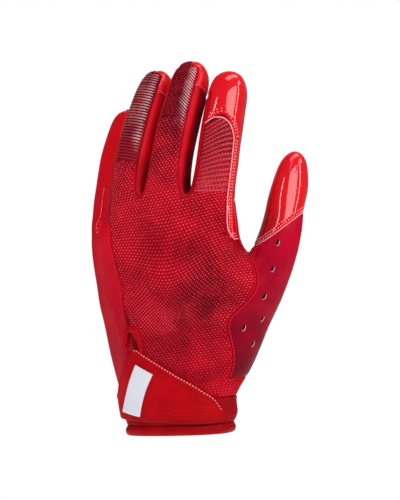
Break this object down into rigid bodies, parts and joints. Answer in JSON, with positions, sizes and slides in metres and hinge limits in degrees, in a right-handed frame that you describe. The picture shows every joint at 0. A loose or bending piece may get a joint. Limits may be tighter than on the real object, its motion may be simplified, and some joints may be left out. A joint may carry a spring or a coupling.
{
  "type": "football receiver glove",
  "caption": "Left-hand receiver glove with a knit back, grip palm, punched thumb panel, elastic cuff and a wrapped closure strap.",
  "frame": {"origin": "middle of the wrist opening, between the hem's outer and inner edge, where the wrist goes in", "axes": "+Z from the wrist to the fingertips, +X to the thumb side, +Y to the palm side"},
  "size_m": [0.1366, 0.0612, 0.2293],
  "materials": {
    "knit": "crimson bulky knit with raised rice-grain dashes",
    "stretch": "smooth bright red stretch cloth",
    "grip": "glossy red silicone-coated grip",
    "vent": "satin deep crimson synthetic leather, punched",
    "rib": "red elastic ribbing",
    "strap": "red laminated cloth, sewn",
    "tab": "plain white moulded tab"
  },
  "bodies": {
    "root": {"back_panel": "knit", "outer_side_panel": "stretch", "palm_panel": "grip", "index_grip": "grip", "fourchette_little_ring": "stretch", "fourchette_ring_middle": "stretch", "fourchette_middle_index": "stretch", "thumb_grip": "grip", "vent_panel": "vent", "cuff_band": "rib", "cuff_hem": "rib", "closure_strap": "strap", "strap_tab": "tab"}
  },
  "joints": []
}
